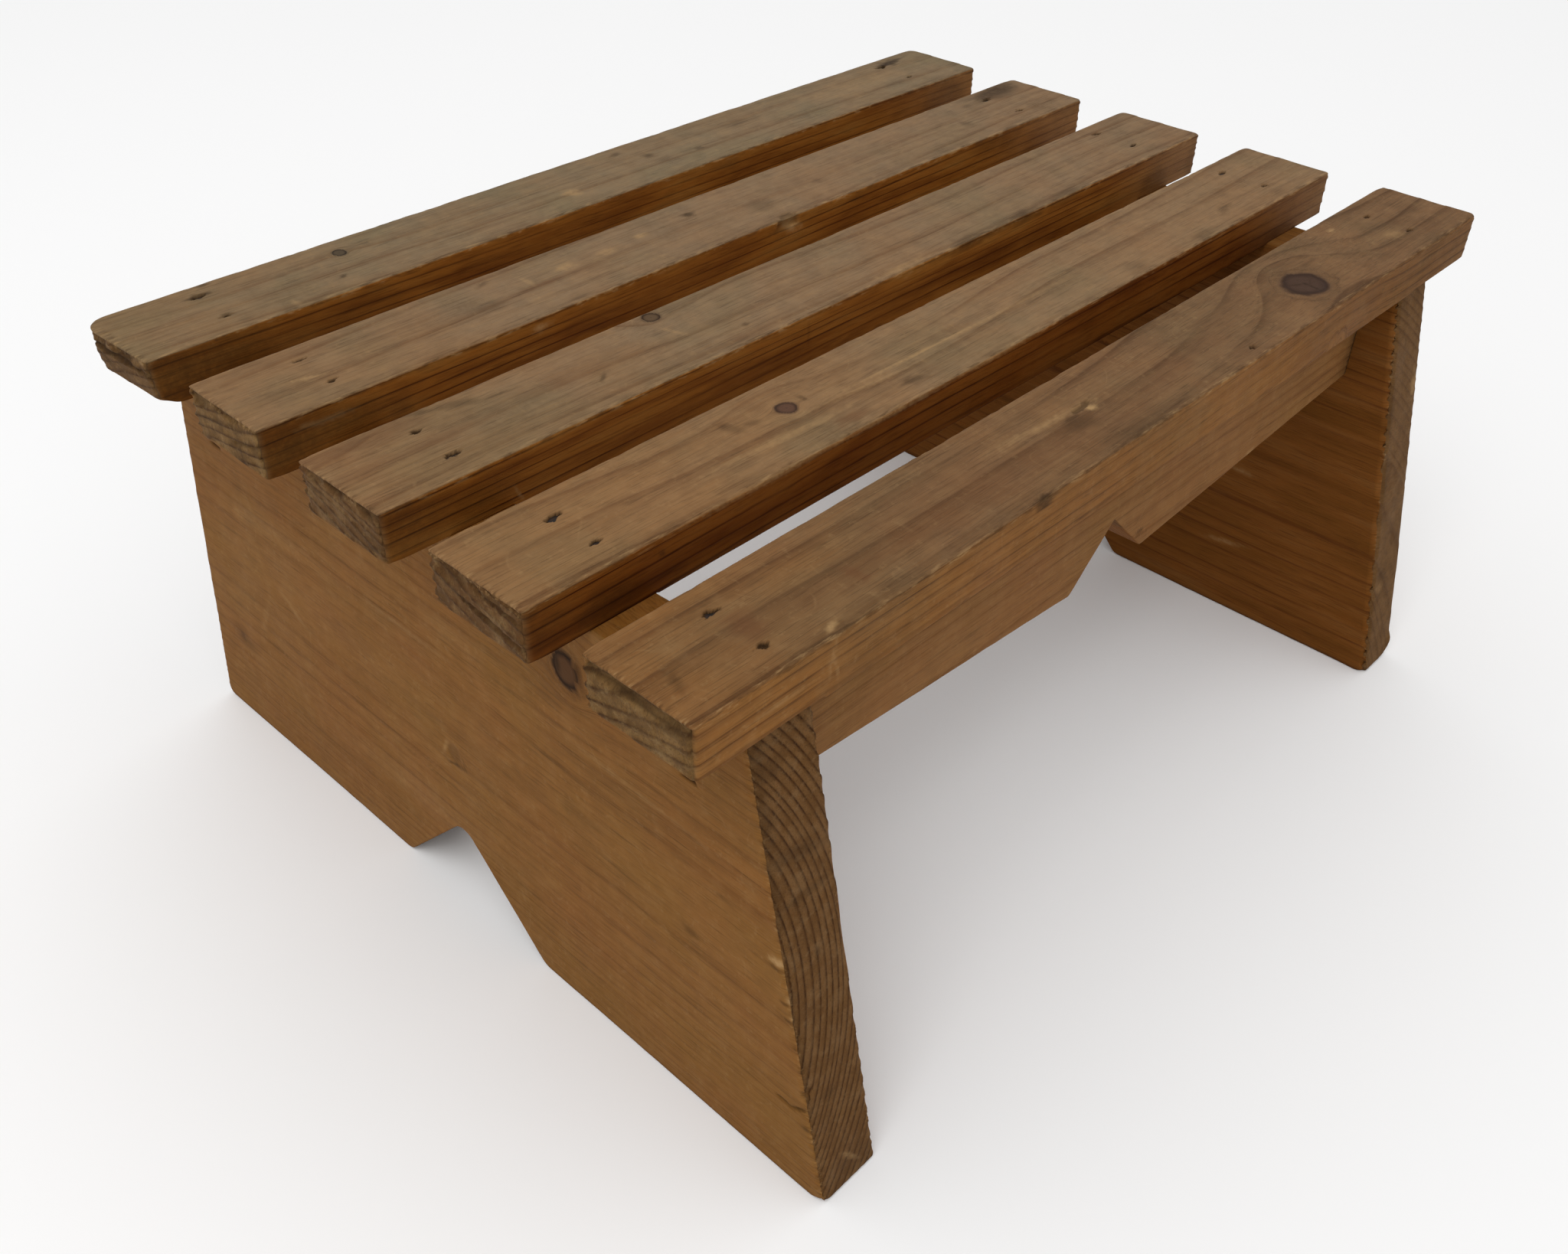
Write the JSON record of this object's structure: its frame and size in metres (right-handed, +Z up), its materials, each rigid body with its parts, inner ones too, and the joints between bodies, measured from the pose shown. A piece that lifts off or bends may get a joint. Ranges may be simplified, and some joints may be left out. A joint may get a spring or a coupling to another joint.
{
  "type": "shoe fitting stool",
  "caption": "Low slatted pine stool: flat battens nailed across splayed end boards with V-notched feet, stiffened by notched aprons.",
  "frame": {"origin": "on the floor under the middle of the seat: the bottom centre of the bounding box, in the plane of the four soles", "axes": "+X along the slats to the right-hand end, -Y towards the front, +Z up"},
  "size_m": [0.472, 0.3854, 0.2145],
  "materials": {
    "slat_pine": "old bare pine, worn and greyed by shoes",
    "board_pine": "old oiled pine, warm brown",
    "apron_pine": "old oiled pine, warm brown",
    "nail_steel": "dark tarnished mild steel"
  },
  "bodies": {
    "root": {"slat_1": "slat_pine", "slat_2": "slat_pine", "slat_3": "slat_pine", "slat_4": "slat_pine", "slat_5": "slat_pine", "left_end_board": "board_pine", "right_end_board": "board_pine", "front_apron": "apron_pine", "back_apron": "apron_pine", "slat_1_left_nails": "nail_steel", "slat_1_right_nails": "nail_steel", "slat_2_left_nails": "nail_steel", "slat_2_right_nails": "nail_steel", "slat_3_left_nails": "nail_steel", "slat_3_right_nails": "nail_steel", "slat_4_left_nails": "nail_steel", "slat_4_right_nails": "nail_steel", "slat_5_left_nails": "nail_steel", "slat_5_right_nails": "nail_steel", "front_apron_left_nails": "nail_steel", "front_apron_right_nails": "nail_steel", "back_apron_left_nails": "nail_steel", "back_apron_right_nails": "nail_steel"}
  },
  "joints": []
}
